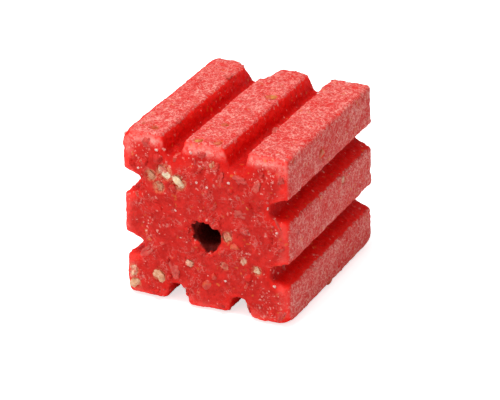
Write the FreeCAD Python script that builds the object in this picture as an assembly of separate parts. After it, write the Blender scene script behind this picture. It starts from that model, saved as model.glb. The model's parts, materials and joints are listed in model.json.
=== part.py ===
"""Ribbed bait block: pressed wax and cereal meal, bored for a securing rod, with cereal pieces set in it.

Millimetres. +Z is up, and +Y runs along the bore from the front cut end to the back one. The origin is
the centre of the resting face. Each kind of cereal piece is one node, a group of separate solids, and
every piece sits in its own socket in the wax. Pieces on the four ribbed sides are flush, because the
die shears them there. Pieces on the two cut ends stand a little proud.
"""

import FreeCAD, Part
import MeshPart

import math
import os
import random

Vector = FreeCAD.Vector
Rotation = FreeCAD.Rotation

# Block
SIDE = 29.0                 # across the ribs, both ways
LENGTH = 32.0               # between the cut ends
RIBS_PER_SIDE = 3
RIB_WIDTH = 6.8             # at the outer face
GROOVE_DEPTH = 3.2
GROOVE_FLOOR = 2.4          # flat width at the bottom of a groove
CORNER_RADIUS = 0.6         # the block's four long edges
RIB_EDGE_RADIUS = 0.45
GROOVE_FLOOR_RADIUS = 0.8
END_EDGE_RADIUS = 0.4       # around both cut ends
ON_PLANE = 0.001            # an edge this near a cut end's plane lies in it
GROOVE_MOUTH = (SIDE - RIBS_PER_SIDE * RIB_WIDTH) / (RIBS_PER_SIDE - 1)
GROOVE_PITCH = RIB_WIDTH + GROOVE_MOUTH
HALF = SIDE / 2
HALF_LENGTH = LENGTH / 2
RIB_EDGE = HALF - RIB_WIDTH             # the outer ribs' inner edge
MIDDLE_RIB_EDGE = RIB_WIDTH / 2

# Bore. The forming pin sags a little, so the hole runs low in the section.
BORE_RADIUS = 2.25
BORE_X = 0.3
BORE_Z = -1.2               # from the section's centre

# Worn corners, from the block's centre: the corner, the way it points, and how far each edge is gone
WORN_CORNERS = (
    ((-HALF, -HALF_LENGTH, HALF), (-1, -1, 1), 2.4),
    ((HALF, -HALF_LENGTH, -HALF), (1, -1, -1), 2.6),
    ((-HALF, HALF_LENGTH, HALF), (-1, 1, 1), 1.8),
    ((HALF, HALF_LENGTH, -HALF), (1, 1, -1), 2.2),
    ((-HALF, HALF_LENGTH, -HALF), (-1, 1, -1), 2.4),
    ((-RIB_EDGE, HALF_LENGTH, HALF), (1, 1, 1), 2.6),
    ((MIDDLE_RIB_EDGE, HALF_LENGTH, HALF), (1, 1, 1), 0.9),
    ((-MIDDLE_RIB_EDGE, -HALF_LENGTH, HALF), (-1, -1, 1), 1.4),
    ((-RIB_EDGE, -HALF_LENGTH, -HALF), (1, -1, -1), 1.2),
)

# Cereal pieces
SEED = 20
STAND_PROUD = 0.35          # most that a piece rises above a cut end
WALL = 0.12                 # least wax between two pieces, or between a piece and the bore
LEAST_LEFT = 0.3            # share of a piece that has to be left after the die has sheared it
MESH_STEP = 0.01            # how finely a piece is meshed to see that it is closed
MESH_TURN = 0.3             # radians
EDGE_MARGIN = 1.1           # from a piece's centre to the edge of the side that it lies on
CORE = HALF - GROOVE_DEPTH - 2.2        # half width of the middle, where pieces are wholly buried
BURIED_DEPTH = 2.5                      # from a cut end to where the buried pieces start
TRIES_PER_PIECE = 12
SINK = (0.15, 0.4)          # a scattered piece's middle lies this share of its thickness below the face
KNOWN_SINK = 0.25           # the same for a piece with a place of its own
TILT = 0.25                 # how far a scattered piece leans, as a share of its facing
MOUTH_GAP = (0.1, 0.5)      # from the bore to a crumb at its mouth, on top of the wall
GRIT_TURN = (28, 52)        # degrees between the two boxes of a grit
GRIT_SQUEEZE = (0.95, 1.1)  # the askew box's length, and its width and thickness, against the first
CHIP_SLANT = (8, 22)        # degrees that a kernel's ends slant
CHIP_TRIM = (0.92, 1.3, 0.8)            # the box that trims a kernel, against its three sizes
KINDS = {
    # name: shape, then ranges of length, width and thickness, then how many go where
    "rolled_oat_flakes": (
        "flake", (2.2, 3.4), (1.3, 1.9), (0.45, 0.65), {"side": 12, "end": 8, "buried": 14}
    ),
    "wheat_chips": (
        "chip", (1.7, 2.5), (1.1, 1.6), (1.0, 1.4), {"side": 14, "end": 10, "buried": 16}
    ),
    "yellow_maize_grits": (
        "grit", (1.1, 1.9), (1.0, 1.5), (0.8, 1.2), {"side": 16, "end": 9, "buried": 14}
    ),
    "orange_maize_grits": (
        "grit", (1.0, 1.7), (0.9, 1.4), (0.7, 1.1), {"side": 9, "end": 5, "buried": 8}
    ),
    "wheat_bran_flakes": (
        "flake", (1.3, 2.4), (1.0, 1.6), (0.3, 0.45), {"side": 22, "end": 12, "buried": 14}
    ),
    "oat_husk_slivers": (
        "sliver", (1.6, 3.0), (0.35, 0.55), (0.25, 0.35), {"side": 20, "end": 12, "buried": 10}
    ),
    "bore_mouth_crumbs": (
        "grit", (0.9, 1.5), (0.8, 1.2), (0.7, 1.1), {"mouth": 20}
    ),
    "dyed_meal_crumbs": (
        "grit", (0.9, 1.7), (0.8, 1.3), (0.7, 1.1), {"end": 54}
    ),
    "starch_prills": (
        "prill", (0.35, 0.6), (0.35, 0.6), (0.35, 0.6), {"side": 90, "end": 60}
    ),
    "sugar_crystals": (
        "crystal", (0.4, 0.65), (0.35, 0.5), (0.35, 0.5), {"side": 46, "end": 26}
    ),
}

# Pieces with a place of their own: kind, face, how far right and how far up its centre is from the
# face's centre (back instead of up on the top), length, width, thickness, turn of the long side
PLACED = (
    ("rolled_oat_flakes", "front", -6.9, 8.5, 2.9, 1.1, 0.9, -43),
    ("rolled_oat_flakes", "front", -4.4, 7.3, 2.8, 1.2, 0.9, -50),
    ("rolled_oat_flakes", "front", 9.0, -5.4, 1.5, 0.9, 0.7, -65),
    ("rolled_oat_flakes", "back", 3.8, 6.4, 3.0, 1.7, 0.7, 55),
    ("rolled_oat_flakes", "back", -9.6, -3.2, 2.8, 1.6, 0.7, -15),
    ("wheat_bran_flakes", "front", -9.3, 7.6, 1.7, 1.3, 0.5, 70),
    ("wheat_bran_flakes", "front", -7.9, 5.9, 1.9, 1.3, 0.5, -70),
    ("wheat_bran_flakes", "front", 3.9, -0.6, 1.9, 1.4, 0.5, 75),
    ("wheat_bran_flakes", "front", 3.2, -5.9, 2.0, 1.3, 0.5, -20),
    ("wheat_chips", "front", -8.5, -10.2, 2.0, 1.5, 1.2, 10),
    ("wheat_chips", "front", -13.3, -10.2, 1.8, 1.2, 1.2, 80),
    ("wheat_chips", "front", -13.0, -12.5, 1.9, 1.3, 1.2, 75),
    ("wheat_chips", "front", 6.6, -4.2, 1.4, 0.9, 0.9, -60),
    ("wheat_chips", "front", 1.5, 11.4, 1.6, 1.0, 1.0, -70),
    ("wheat_chips", "front", -2.8, -6.7, 1.4, 1.0, 0.9, 0),
    ("wheat_chips", "right groove", -1.6, -6.0, 1.6, 1.2, 1.0, 40),
    ("wheat_chips", "right", 4.8, 2.2, 1.6, 0.9, 0.9, 70),
    ("wheat_chips", "back", -6.2, 8.9, 2.2, 1.5, 1.2, 30),
    ("wheat_chips", "back", 9.4, -9.4, 1.9, 1.3, 1.1, -20),
    ("oat_husk_slivers", "front", -12.3, 4.1, 2.2, 0.5, 0.4, -60),
    ("oat_husk_slivers", "front", -0.6, 10.4, 1.6, 0.5, 0.4, 35),
    ("yellow_maize_grits", "front", 7.3, -8.3, 1.2, 1.0, 0.9, 0),
    ("yellow_maize_grits", "top", -1.6, -14.0, 1.5, 1.0, 0.9, 20),
    ("yellow_maize_grits", "top", 1.7, 4.8, 2.2, 1.3, 0.9, 0),
    ("yellow_maize_grits", "right groove", -1.1, 5.6, 1.8, 1.2, 1.0, 30),
    ("yellow_maize_grits", "right groove", -8.2, -5.4, 1.4, 1.1, 0.9, 10),
    ("orange_maize_grits", "top", 1.6, -13.7, 1.4, 1.0, 0.9, 60),
    ("orange_maize_grits", "top", -9.9, -12.8, 1.5, 1.1, 0.9, 10),
    ("orange_maize_grits", "top", -0.2, -7.4, 1.3, 1.0, 0.9, 35),
    ("orange_maize_grits", "right", -3.2, 10.4, 2.0, 1.4, 1.0, 35),
    ("sugar_crystals", "right groove", 6.3, 5.6, 0.7, 0.5, 0.5, 30),
    ("sugar_crystals", "right groove", -12.4, 5.2, 0.6, 0.5, 0.5, 0),
)


def rounded_outline(corners):
    """A closed wire through (x, z, radius) corners, each rounded by an arc of its radius."""
    arcs = []
    for i, (x, z, radius) in enumerate(corners):
        here = Vector(x, 0, z)
        back_x, back_z, _ = corners[i - 1]
        ahead_x, ahead_z, _ = corners[(i + 1) % len(corners)]
        back = (Vector(back_x, 0, back_z) - here).normalize()
        ahead = (Vector(ahead_x, 0, ahead_z) - here).normalize()
        half_angle = back.getAngle(ahead) / 2
        reach = radius / math.tan(half_angle)
        to_arc = radius / math.sin(half_angle) - radius
        bulge = here + (back + ahead).normalize() * to_arc
        arcs.append((here + back * reach, bulge, here + ahead * reach))
    edges = []
    for i, (start, bulge, end) in enumerate(arcs):
        next_start = arcs[(i + 1) % len(arcs)][0]
        edges.append(Part.Arc(start, bulge, end).toShape())
        edges.append(Part.LineSegment(end, next_start).toShape())
    return Part.Wire(edges)


def section():
    """The ribbed section's outline, centred, in the plane y = 0."""
    top = [(-HALF, HALF, CORNER_RADIUS)]
    for centre in (-GROOVE_PITCH / 2, GROOVE_PITCH / 2):
        top.append((centre - GROOVE_MOUTH / 2, HALF, RIB_EDGE_RADIUS))
        top.append((centre - GROOVE_FLOOR / 2, HALF - GROOVE_DEPTH, GROOVE_FLOOR_RADIUS))
        top.append((centre + GROOVE_FLOOR / 2, HALF - GROOVE_DEPTH, GROOVE_FLOOR_RADIUS))
        top.append((centre + GROOVE_MOUTH / 2, HALF, RIB_EDGE_RADIUS))
    corners = []
    for cos, sin in ((1, 0), (0, -1), (-1, 0), (0, 1)):
        corners += [(x * cos - z * sin, x * sin + z * cos, radius) for x, z, radius in top]
    return rounded_outline(corners)


def prism(half_length):
    """The ribbed section drawn out to half_length each way along Y."""
    face = Part.Face(section())
    face.translate(Vector(0, -half_length, 0))
    return face.extrude(Vector(0, 2 * half_length, 0))


def corner_wear():
    """The blocks that cut the worn corners off, each square to the way its corner points."""
    tools = []
    for corner, pointing, gone in WORN_CORNERS:
        outward = Vector(*pointing).normalize()
        start = Vector(*corner) - outward * (gone / math.sqrt(3))
        size = 4 * gone
        tool = Part.makeBox(size, size, size, Vector(-size / 2, -size / 2, 0))
        tool.Placement = FreeCAD.Placement(start, Rotation(Vector(0, 0, 1), outward))
        tools.append(tool)
    return tools


def blank():
    """The wax block before any cereal piece is set in it."""
    body = prism(HALF_LENGTH)
    end_edges = [
        edge for edge in body.Edges
        if abs(abs(edge.CenterOfMass.y) - HALF_LENGTH) < ON_PLANE
    ]
    body = body.makeFillet(END_EDGE_RADIUS, end_edges)
    start = Vector(BORE_X, -LENGTH, BORE_Z)
    bore = Part.makeCylinder(BORE_RADIUS, 2 * LENGTH, start, Vector(0, 1, 0))
    return body.cut([bore] + corner_wear())


def centred_box(length, width, thickness):
    return Part.makeBox(length, width, thickness, Vector(-length / 2, -width / 2, -thickness / 2))


def flake(length, width, thickness, rng):
    """A rolled flake: an oval plate."""
    oval = Part.Ellipse(Vector(0, 0, -thickness / 2), length / 2, min(width, 0.9 * length) / 2)
    return Part.Face(Part.Wire(oval.toShape())).extrude(Vector(0, 0, thickness))


def sliver(length, width, thickness, rng):
    """A strip of husk, pointed at both ends."""
    low = -thickness / 2
    tip = Vector(length / 2, 0, low)
    tail = Vector(-length / 2, 0, low)
    upper = Part.Arc(tail, Vector(0, width / 2, low), tip).toShape()
    lower = Part.Arc(tip, Vector(0, -width / 2, low), tail).toShape()
    return Part.Face(Part.Wire([upper, lower])).extrude(Vector(0, 0, thickness))


def grit(length, width, thickness, rng):
    """An angular fragment: what two boxes set askew have in common."""
    shorter, wider = GRIT_SQUEEZE
    askew = centred_box(length * shorter, width * wider, thickness * wider)
    axis = Vector(rng.uniform(-1, 1), rng.uniform(-1, 1), 1)
    askew.rotate(Vector(0, 0, 0), axis, rng.uniform(*GRIT_TURN))
    return centred_box(length, width, thickness).common(askew)


def chip(length, width, thickness, rng):
    """A cracked kernel: a short round bar with flattened sides and slanting ends."""
    bar = Part.makeCylinder(width / 2, length, Vector(-length / 2, 0, 0), Vector(1, 0, 0))
    trims = (size * share for size, share in zip((length, width, thickness), CHIP_TRIM))
    ends = centred_box(*trims)
    ends.rotate(Vector(0, 0, 0), Vector(0, 0.4, 1), rng.uniform(*CHIP_SLANT))
    return bar.common(ends)


def prill(length, width, thickness, rng):
    """A round bead."""
    return Part.makeSphere(length / 2)


def crystal(length, width, thickness, rng):
    """A square-cornered sugar grain."""
    return centred_box(length, width, thickness)


SHAPES = {
    "flake": flake,
    "sliver": sliver,
    "grit": grit,
    "chip": chip,
    "prill": prill,
    "crystal": crystal,
}


def is_closed(solid):
    """True if the solid is sound and its faces meet without gaps when it is meshed."""
    mesh = MeshPart.meshFromShape(
        Shape=solid, LinearDeflection=MESH_STEP, AngularDeflection=MESH_TURN
    )
    return solid.isValid() and mesh.isSolid()


def on_end(sign, x, z, sink):
    """A point sink below a cut end (the front if sign is -1), and the way that end faces."""
    return Vector(x, sign * (HALF_LENGTH - sink), z), Vector(0, sign, 0)


def on_side(quarter, across, along, sink):
    """A point sink below a ribbed side, and the way the side faces. Quarter 0 is the top, 1 the right."""
    in_groove = abs(abs(across) - GROOVE_PITCH / 2) < GROOVE_FLOOR / 2
    height = HALF - sink - (GROOVE_DEPTH if in_groove else 0)
    turn = Rotation(Vector(0, 1, 0), 90 * quarter)
    return turn.multVec(Vector(across, along, height)), turn.multVec(Vector(0, 0, 1))


def side_place(rng, sizes, sink):
    reach = HALF - EDGE_MARGIN
    along = HALF_LENGTH - EDGE_MARGIN
    quarter = rng.randrange(4)
    return on_side(quarter, rng.uniform(-reach, reach), rng.uniform(-along, along), sink)


def end_place(rng, sizes, sink):
    reach = HALF - EDGE_MARGIN
    sign = rng.choice((-1, 1))
    return on_end(sign, rng.uniform(-reach, reach), rng.uniform(-reach, reach), sink)


def mouth_place(rng, sizes, sink):
    """A place close around the bore, on either cut end."""
    out = BORE_RADIUS + 0.5 * max(sizes) + WALL + rng.uniform(*MOUTH_GAP)
    angle = rng.uniform(0, 2 * math.pi)
    sign = rng.choice((-1, 1))
    return on_end(sign, BORE_X + out * math.cos(angle), BORE_Z + out * math.sin(angle), sink)


def buried_place(rng, sizes, sink):
    along = HALF_LENGTH - BURIED_DEPTH
    centre = Vector(rng.uniform(-CORE, CORE), rng.uniform(-along, along), rng.uniform(-CORE, CORE))
    return centre, Vector(rng.gauss(0, 1), rng.gauss(0, 1), rng.gauss(0, 1))


PLACES = {"side": side_place, "end": end_place, "mouth": mouth_place, "buried": buried_place}


class Bed:
    """The pieces set so far, and the rules that a new one has to keep."""

    def __init__(self):
        self.rng = random.Random(SEED)
        self.envelope = prism(HALF_LENGTH + STAND_PROUD).cut(corner_wear())
        self.sockets = []
        self.nodes = {name: [] for name in KINDS}

    def has_room(self, shape, centre, reach):
        """True if a wall of wax is left between this piece and every other one, and the bore."""
        to_bore = math.hypot(centre.x - BORE_X, centre.z - BORE_Z)
        if to_bore < BORE_RADIUS + reach + WALL:
            return False
        for other, other_centre, other_reach in self.sockets:
            if centre.distanceToPoint(other_centre) > reach + other_reach + WALL:
                continue
            if shape.distToShape(other)[0] < WALL:
                return False
        return True

    def set_piece(self, name, place, spin, sizes):
        """Sets one piece at a place (a centre, and the way its flat side faces) if there's room."""
        centre, facing = place
        reach = math.sqrt(sum(size * size for size in sizes)) / 2
        shape = SHAPES[KINDS[name][0]](*sizes, self.rng)
        turn = Rotation(Vector(0, 0, 1), facing) * Rotation(Vector(0, 0, 1), spin)
        shape.Placement = FreeCAD.Placement(centre, turn).multiply(shape.Placement)
        if not self.has_room(shape, centre, reach):
            return False
        sheared = shape.common(self.envelope)
        if len(sheared.Solids) != 1 or sheared.Volume < LEAST_LEFT * shape.Volume:
            return False
        if not is_closed(sheared.Solids[0]):
            return False
        self.sockets.append((shape, centre, reach))
        self.nodes[name].append(sheared.Solids[0])
        return True


def known_place(face, right, up, sink):
    """The place of a piece that is given by how far right and up it is on a face."""
    if face == "front":
        return on_end(-1, right, up, sink)
    if face == "back":
        return on_end(1, -right, up, sink)
    if face == "top":
        return on_side(0, right, up, sink)
    return on_side(1, -up, right, sink)


def place_known(bed):
    """Sets the pieces that have a place of their own."""
    for name, face, right, up, length, width, thickness, turn in PLACED:
        place = known_place(face, right, up, KNOWN_SINK * thickness)
        if not bed.set_piece(name, place, turn, (length, width, thickness)):
            raise ValueError(f"no room for {name} on the {face} at {right}, {up}")


def scatter(bed):
    """Sets the rest at random, larger kinds first, each lying nearly flat in its face."""
    rng = bed.rng
    for name, (_, *ranges, counts) in KINDS.items():
        for zone, count in counts.items():
            for _ in range(count * TRIES_PER_PIECE):
                if count == 0:
                    break
                sizes = tuple(rng.uniform(low, high) for low, high in ranges)
                centre, facing = PLACES[zone](rng, sizes, rng.uniform(*SINK) * sizes[2])
                tilt = Vector(rng.uniform(-1, 1), rng.uniform(-1, 1), rng.uniform(-1, 1)) * TILT
                if bed.set_piece(name, (centre, facing + tilt), rng.uniform(0, 360), sizes):
                    count -= 1


def main():
    bed = Bed()
    place_known(bed)
    scatter(bed)
    wax = blank().cut([socket for socket, _, _ in bed.sockets])
    wax = max(wax.Solids, key=lambda solid: solid.Volume)
    os.makedirs("parts", exist_ok=True)
    for name, solids in {"wax_meal_block": [wax], **bed.nodes}.items():
        shape = Part.makeCompound(solids)
        shape.translate(Vector(0, 0, HALF))
        shape.exportStep("parts/" + name + ".step")
        print(name, len(solids), "solids", round(shape.Volume, 1), "mm3", shape.isValid())


main()
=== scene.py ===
"""Looks of the ribbed bait block: a grainy wax body grown from the CAD solid, and its cereal pieces.

Shapes are worked out in millimetres, in the row frame, and made into Blender meshes in metres.
"""

import itertools
import json
import math

import bmesh
import bpy
import numpy as np
import openvdb
from mathutils import Matrix, Vector


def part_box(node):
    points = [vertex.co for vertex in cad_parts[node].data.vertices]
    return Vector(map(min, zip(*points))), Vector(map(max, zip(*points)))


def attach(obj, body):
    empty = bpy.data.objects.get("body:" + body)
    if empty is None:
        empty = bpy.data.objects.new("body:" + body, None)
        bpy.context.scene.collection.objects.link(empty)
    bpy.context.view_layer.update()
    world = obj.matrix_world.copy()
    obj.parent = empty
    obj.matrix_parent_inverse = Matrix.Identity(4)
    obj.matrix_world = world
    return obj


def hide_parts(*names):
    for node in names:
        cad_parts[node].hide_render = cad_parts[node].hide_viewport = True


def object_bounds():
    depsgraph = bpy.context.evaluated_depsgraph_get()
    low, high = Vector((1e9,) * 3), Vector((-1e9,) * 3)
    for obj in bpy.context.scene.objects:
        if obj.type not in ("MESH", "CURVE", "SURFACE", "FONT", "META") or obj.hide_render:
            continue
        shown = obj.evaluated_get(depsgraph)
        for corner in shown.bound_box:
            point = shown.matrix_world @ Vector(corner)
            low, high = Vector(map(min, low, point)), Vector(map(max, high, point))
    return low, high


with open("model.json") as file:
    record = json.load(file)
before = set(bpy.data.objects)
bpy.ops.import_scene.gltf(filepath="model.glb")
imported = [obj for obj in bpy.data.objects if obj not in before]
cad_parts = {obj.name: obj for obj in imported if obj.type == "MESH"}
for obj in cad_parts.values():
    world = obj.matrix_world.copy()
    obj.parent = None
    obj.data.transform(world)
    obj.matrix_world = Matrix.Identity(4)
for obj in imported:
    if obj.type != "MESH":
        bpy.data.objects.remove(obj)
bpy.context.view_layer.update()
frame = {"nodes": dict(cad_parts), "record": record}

SEED = 7
MM = 1000.0                     # millimetres in a metre
WAX = "wax_meal_block"
BODY = "root"
LOW, HIGH = (np.array(corner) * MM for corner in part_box(WAX))
CENTRE = (LOW + HIGH) / 2
HALF = (HIGH[0] - LOW[0]) / 2
HALF_LENGTH = (HIGH[1] - LOW[1]) / 2
BORE = next(m for m in frame["record"]["mounts"] if m["name"] == "rod_bore")
BORE_X = BORE["pos_m"][0] * MM
BORE_Z = BORE["pos_m"][2] * MM
BORE_RADIUS = BORE["dims"]["r_mm"]

# Grid that the wax is shaped on
VOXEL = 0.2
BAND = 1.6                      # how far from the surface the distances are kept
SHALLOW = 0.6                   # the same, where only the surface's place matters
LATTICE_MARGIN = 4.0            # how far past the block the noise reaches
MEANS_REACH = 1.7               # how far three running means reach, against half the width of one
WAX_TRIANGLES = 190000


# ---------------------------------------------------------------- numbers

def lattice(size, seed, channels=1):
    """Random numbers from 0 to 1 on a lattice with this spacing that reaches past the block."""
    count = np.ceil((HIGH - LOW + 2 * LATTICE_MARGIN) / size).astype(int) + 3
    return np.random.default_rng(seed).random((*count, channels), dtype=np.float32)


def lattice_place(points, size):
    """For each point, its lattice cell and how far across the cell it is."""
    cell = (points - (LOW - LATTICE_MARGIN)) / size + 1
    base = np.floor(cell).astype(np.int32)
    return base, (cell - base).astype(np.float32)


def noise(points, size, seed):
    """Smooth noise from 0 to 1, with lumps about size across."""
    table = lattice(size, seed)[..., 0]
    base, part = lattice_place(points, size)
    part = part * part * (3 - 2 * part)
    total = np.zeros(len(points), np.float32)
    for corner in itertools.product((0, 1), repeat=3):
        weight = np.prod(np.where(np.array(corner) == 1, part, 1 - part), axis=1)
        i, j, k = (base + corner).T
        total += weight * table[i, j, k]
    return total


def grains(points, size, seed):
    """Round-topped grains about size across: 1 at a grain's middle, 0 in the cracks between."""
    table = lattice(size, seed, 3)
    base, part = lattice_place(points, size)
    nearest = np.full(len(points), 9.0, np.float32)
    for step in itertools.product((-1, 0, 1), repeat=3):
        i, j, k = (base + step).T
        away = table[i, j, k] + np.array(step, np.float32) - part
        nearest = np.minimum(nearest, np.einsum("ij,ij->i", away, away))
    return 1 - np.clip(nearest, 0, 1)


def ramp(value, start, end):
    """0 below start, 1 above end, smooth between."""
    t = np.clip((value - start) / (end - start), 0, 1)
    return t * t * (3 - 2 * t)


# ---------------------------------------------------------------- the wax body's distance field

def node_surface(name):
    """A CAD node's vertices in millimetres with doubles joined, and its triangles."""
    mesh = frame["nodes"][name].data
    corners = np.empty(len(mesh.vertices) * 3, np.float32)
    mesh.vertices.foreach_get("co", corners)
    mesh.calc_loop_triangles()
    triangles = np.empty(len(mesh.loop_triangles) * 3, np.int32)
    mesh.loop_triangles.foreach_get("vertices", triangles)
    corners = np.round(corners.reshape(-1, 3) * MM, 4)
    points, index = np.unique(corners, axis=0, return_inverse=True)
    return points, index.ravel()[triangles].reshape(-1, 3)


class Field:
    """Distances from a surface on a regular grid: negative inside, and cut off at a band's width."""

    def __init__(self, band):
        self.band = band
        margin = BAND + 2 * VOXEL
        self.start = np.floor((LOW - margin) / VOXEL).astype(int)
        self.size = np.ceil((HIGH + margin) / VOXEL).astype(int) - self.start
        self.transform = openvdb.createLinearTransform(VOXEL)
        self.values = np.full(self.size, band, np.float32)

    def add(self, points, triangles=None, quads=None, swell=0.0):
        """Joins a closed surface to the field, swollen a little if asked."""
        flat = {}
        if triangles is not None and len(triangles):
            flat["triangles"] = triangles.astype(np.uint32)
        if quads is not None and len(quads):
            flat["quads"] = quads.astype(np.uint32)
        grid = openvdb.FloatGrid.createLevelSetFromPolygons(
            points.astype(np.float32),
            transform=self.transform,
            halfWidth=self.band / VOXEL,
            **flat,
        )
        found = np.empty(self.size, np.float32)
        grid.copyToArray(found, ijk=tuple(int(i) for i in self.start))
        self.values = np.minimum(self.values, found - swell)

    def polygons(self):
        """The surface at distance 0: points, triangles and quads."""
        grid = openvdb.FloatGrid(self.band)
        grid.transform = self.transform
        grid.copyFromArray(self.values, ijk=tuple(int(i) for i in self.start))
        return grid.convertToPolygons(isovalue=0.0, adaptivity=0.0)

    def near(self, reach):
        """Indexes and places of the grid points within reach of the surface."""
        where = np.nonzero(np.abs(self.values) < reach)
        places = (np.stack(where, axis=1) + self.start) * VOXEL
        return where, places.astype(np.float32)

    def sample(self, points, values):
        """An array on this grid, read between the grid points."""
        at = np.clip(points / VOXEL - self.start, 0, np.array(self.size) - 1.001)
        base = np.floor(at).astype(int)
        part = (at - base).astype(np.float32)
        total = np.zeros(len(points), np.float32)
        for corner in itertools.product((0, 1), repeat=3):
            weight = np.prod(np.where(np.array(corner) == 1, part, 1 - part), axis=1)
            i, j, k = (base + corner).T
            total += weight * values[i, j, k]
        return total

    def stamp(self, centre, radius, blend, sign):
        """Adds a ball (sign 1) or scoops one out (sign -1), with a soft join about blend wide."""
        reach = radius + blend + VOXEL
        low = np.maximum(np.floor((centre - reach) / VOXEL).astype(int) - self.start, 0)
        high = np.minimum(np.ceil((centre + reach) / VOXEL).astype(int) - self.start + 1, self.size)
        if (high <= low).any():
            return
        window = tuple(slice(a, b) for a, b in zip(low, high))
        axes = [
            (np.arange(a, b) + s) * VOXEL - c
            for a, b, s, c in zip(low, high, self.start, centre)
        ]
        square = (
            axes[0][:, None, None] ** 2 + axes[1][None, :, None] ** 2 + axes[2][None, None, :] ** 2
        )
        ball = np.sqrt(square) - radius
        here = self.values[window] * sign
        overlap = np.clip(0.5 + 0.5 * (here - ball) / blend, 0, 1)
        joined = here * (1 - overlap) + ball * overlap - blend * overlap * (1 - overlap)
        self.values[window] = joined * sign


def blurred(values, reach):
    """The field averaged over about reach either way, by three running means along each axis."""
    steps = max(1, int(round(reach / VOXEL / MEANS_REACH)))
    width = 2 * steps + 1
    for axis in range(3):
        for _ in range(3):
            padding = [(0, 0)] * 3
            padding[axis] = (steps + 1, steps)
            sums = np.cumsum(np.pad(values, padding, mode="edge"), axis=axis, dtype=np.float64)
            ahead = np.take(sums, np.arange(width, sums.shape[axis]), axis=axis)
            behind = np.take(sums, np.arange(0, sums.shape[axis] - width), axis=axis)
            values = ((ahead - behind) / width).astype(np.float32)
    return values


# How the wax is roughened
SEAM = 0.08                     # closes the joint between the wax and a cereal piece
EDGE_REACH = 0.9                # how wide an edge is rounded
RIM_REACH = 2.0                 # how wide the crumbled rim of a cut end is
ROUGHENED = 1.2                 # how far from the surface the field is changed by the roughness
GROOVE_DEPTH = 3.2              # from a rib's outer face to a groove's floor
END_SKIN = (1.0, 0.3)           # how deep under a cut end its look starts and is full
WALL_RING = (1.4, 0.9)          # how far outside the bore's radius its wall's painted shade starts and is full
WALL_DEPTH = 0.45               # how deep in the mouth the wall's painted shade is full
TORN_HEIGHTS = (7.0, 12.5)      # above the middle, where a cut end starts to be torn and is all torn
BARE_CORE = 0.6                 # the share of a worn place's reach that is quite bare
SPECKLED_CORE = 0.3             # the share of a speckled patch's reach that is full of meal
BARE_DEPTH = 0.30               # how much lower the wax is where it is worn off a cereal piece
SLUMP = 0.55                    # how far a cut end leans back at its top
EDGE_WEAR = (0.25, 0.8)         # the share of an edge that is gone on the sides, and what the ends add
RELIEF = (                      # layers: kind, size, seed, middle, depth, more on cut ends, more where torn
    (noise, 5.0, 21, 0.50, 0.12, 0.22, 0.00),
    (noise, 1.9, 31, 0.50, 0.12, 0.10, 0.35),
    (grains, 1.2, 41, 0.55, 0.12, 0.00, 0.20),
    (grains, 0.62, 51, 0.55, 0.20, -0.08, 0.00),
)
WORN_EDGES = ((-1, 1, 0.62), (1, -1, 0.36))     # long edges: which way in x and z, and how much is gone
FLUSH = np.array([0.12, 0.45, 0.12])            # most that a grain stands out of the sides and cut ends
SEAT_DEPTH = 0.02               # least that a grain's middle is below the wax's surface
SEAT_STEPS = 3
BEVEL_SOFTNESS = 0.5            # how far inside a worn edge its bevel starts
BEVEL_SHARE = 0.8               # how much of what is past a bevel is gone
SCOOPS = (                      # worn and torn places, from the block's centre: x, y, z, radius
    (-16.4, -17.8, 16.4, 3.0),
    (-11.0, -17.6, 15.9, 2.2),
    (-7.4, -17.4, 15.4, 1.9),
    (-3.0, -17.5, 15.9, 2.2),
    (1.6, -17.6, 16.1, 2.1),
    (8.5, -17.9, 16.2, 2.3),
    (16.4, -17.6, -16.2, 3.2),
    (12.6, -17.6, -15.8, 2.4),
    (-7.5, 16.6, 15.2, 1.9),
    (3.8, 16.9, 15.6, 1.4),
    (-15.0, 17.0, 15.0, 2.2),
    (-11.6, 17.6, 16.4, 2.9),
    (12.8, -17.3, 5.2, 2.3),
    (12.8, -17.3, -5.9, 2.2),
    (5.2, -17.3, 13.0, 1.9),
    (-5.9, -17.3, 13.0, 1.9),
)
SCOOP_BLEND = 0.7               # how soft the rim of a scoop is
CRUMBS = 1900
CRUMB_RADII = (0.18, 0.38)
CRUMB_SINK = 0.7                # how deep a crumb's middle is, against its radius
PITS = 1100
PIT_RADII = (0.2, 0.42)
PIT_RISE = 0.65                 # how far outside the surface a pit's middle is, against its radius
CRUMB_BLEND = 0.14
MOUTH_DEPTH = 0.35              # from a cut end to the middle of the bore's torn mouth
MOUTH_BLEND = 0.3
MOUTH = (                       # the mouth's bites (-1) and lumps (1): angle, from axis, radius, sign
    (141, 2.30, 0.90, -1),
    (164, 2.05, 0.42, -1),
    (-82, 2.30, 0.80, -1),
    (-60, 2.15, 0.60, -1),
    (-15, 2.00, 0.50, -1),
    (12, 2.00, 0.45, -1),
    (196, 2.10, 0.40, -1),
    (58, 2.75, 0.85, 1),
    (226, 2.70, 0.80, 1),
    (88, 2.75, 0.60, 1),
)
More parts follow.
